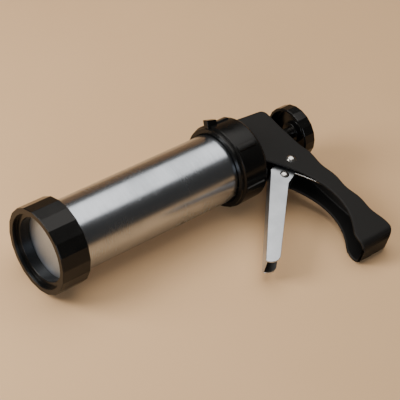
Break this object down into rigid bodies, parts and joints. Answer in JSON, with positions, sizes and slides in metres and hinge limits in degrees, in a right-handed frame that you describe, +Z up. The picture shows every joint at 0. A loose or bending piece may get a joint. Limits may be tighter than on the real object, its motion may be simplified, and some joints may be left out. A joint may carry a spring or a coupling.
{
  "type": "hand press gun",
  "caption": "Caulking-gun style hand press: steel barrel, screw ring at the open mouth, ratchet plunger with pull knob, pistol handle and squeeze lever.",
  "frame": {"origin": "centre of the barrel's open mouth, on the front face of the screw ring", "axes": "+X along the barrel and out of the mouth, +Z up with the gun lying on its right side, so the handle points to +Y and droops to the floor"},
  "size_m": [0.2324, 0.1453, 0.0634],
  "materials": {
    "moulded_black": "satin moulded black plastic",
    "gloss_black": "polished black plastic",
    "black_rubber": "moulded rubber",
    "barrel_steel": "stainless tube, brushed round its girth",
    "lever_steel": "folded stainless sheet, satin",
    "piston_steel": "stainless plate, brushed",
    "rivet_steel": "polished rivet heads",
    "rod_steel": "drawn steel rod",
    "pawl_steel": "hardened steel",
    "spring_steel": "spring wire",
    "natural_nylon": "natural nylon"
  },
  "bodies": {
    "housing": {"housing": "moulded_black", "front_bush": "natural_nylon", "rear_bush": "natural_nylon", "rear_gasket": "black_rubber", "pivot_rivet": "rivet_steel", "pivot_washers": "natural_nylon", "return_spring": "spring_steel", "holding_pawl_pin": "rivet_steel", "holding_pawl_spring": "spring_steel"},
    "barrel": {"barrel_tube": "barrel_steel"},
    "collar": {"rear_collar": "gloss_black"},
    "mouth_gasket": {"front_gasket": "black_rubber"},
    "ring": {"front_ring": "gloss_black"},
    "piston": {"piston_plate": "piston_steel", "piston_seal": "black_rubber", "piston_back_plate": "piston_steel", "piston_hub": "rod_steel", "swivel_pin": "pawl_steel"},
    "rod": {"plunger_rod": "rod_steel", "pull_knob": "gloss_black", "knob_washer": "rivet_steel", "knob_screw": "rivet_steel"},
    "lever": {"trigger_lever": "lever_steel", "pivot_sleeve": "pawl_steel", "spring_rivet": "rivet_steel", "drive_pawl_pin": "rivet_steel", "drive_pawl_spring": "spring_steel"},
    "drive_pawl": {"drive_pawl": "pawl_steel"},
    "holding_pawl": {"holding_pawl": "pawl_steel"}
  },
  "joints": [
    {"name": "barrel_travel", "type": "slide", "parent": "housing", "child": "barrel", "axis": [1, 0, 0], "range_m": [0, 0.01]},
    {"name": "collar_turn", "type": "hinge", "parent": "housing", "child": "collar", "pos_m": [-0.16, 0, 0], "axis": [-1, 0, 0], "range_deg": [0, 720]},
    {"name": "ring_travel", "type": "slide", "parent": "barrel", "child": "mouth_gasket", "axis": [1, 0, 0], "range_m": [0, 0.01]},
    {"name": "ring_turn", "type": "hinge", "parent": "mouth_gasket", "child": "ring", "pos_m": [-0.011, 0, 0], "axis": [1, 0, 0], "range_deg": [0, 720]},
    {"name": "plunger_slide", "type": "slide", "parent": "housing", "child": "piston", "axis": [1, 0, 0], "range_m": [-0.135, 0]},
    {"name": "rod_turn", "type": "hinge", "parent": "piston", "child": "rod", "pos_m": [-0.12, 0, 0], "axis": [1, 0, 0], "range_deg": [0, 180]},
    {"name": "lever_squeeze", "type": "hinge", "parent": "housing", "child": "lever", "pos_m": [-0.2012, 0.02583, -0.00493], "axis": [0, 0.1876, 0.9822], "range_deg": [0, 34], "stiffness_Nm_per_rad": 0.6, "springref_deg": -11.46, "deforming": ["return_spring"]},
    {"name": "drive_pawl_tilt", "type": "hinge", "parent": "lever", "child": "drive_pawl", "pos_m": [-0.20328, 0.01422, -0.00272], "axis": [0, 0.1876, 0.9822], "range_deg": [-34, 0], "deforming": ["drive_pawl_spring"]},
    {"name": "holding_pawl_tilt", "type": "hinge", "parent": "housing", "child": "holding_pawl", "pos_m": [-0.1857, 0.01081, -0.00206], "axis": [0, -0.1876, -0.9822], "range_deg": [-8, 14], "stiffness_Nm_per_rad": 0.004, "deforming": ["holding_pawl_spring"]}
  ],
  "couplings": [
    {"joint": "barrel_travel", "follows": "collar_turn", "m_per_rad": 0.00079577},
    {"joint": "ring_travel", "follows": "ring_turn", "m_per_rad": 0.00079577},
    {"joint": "drive_pawl_tilt", "follows": "lever_squeeze", "ratio": -1}
  ]
}
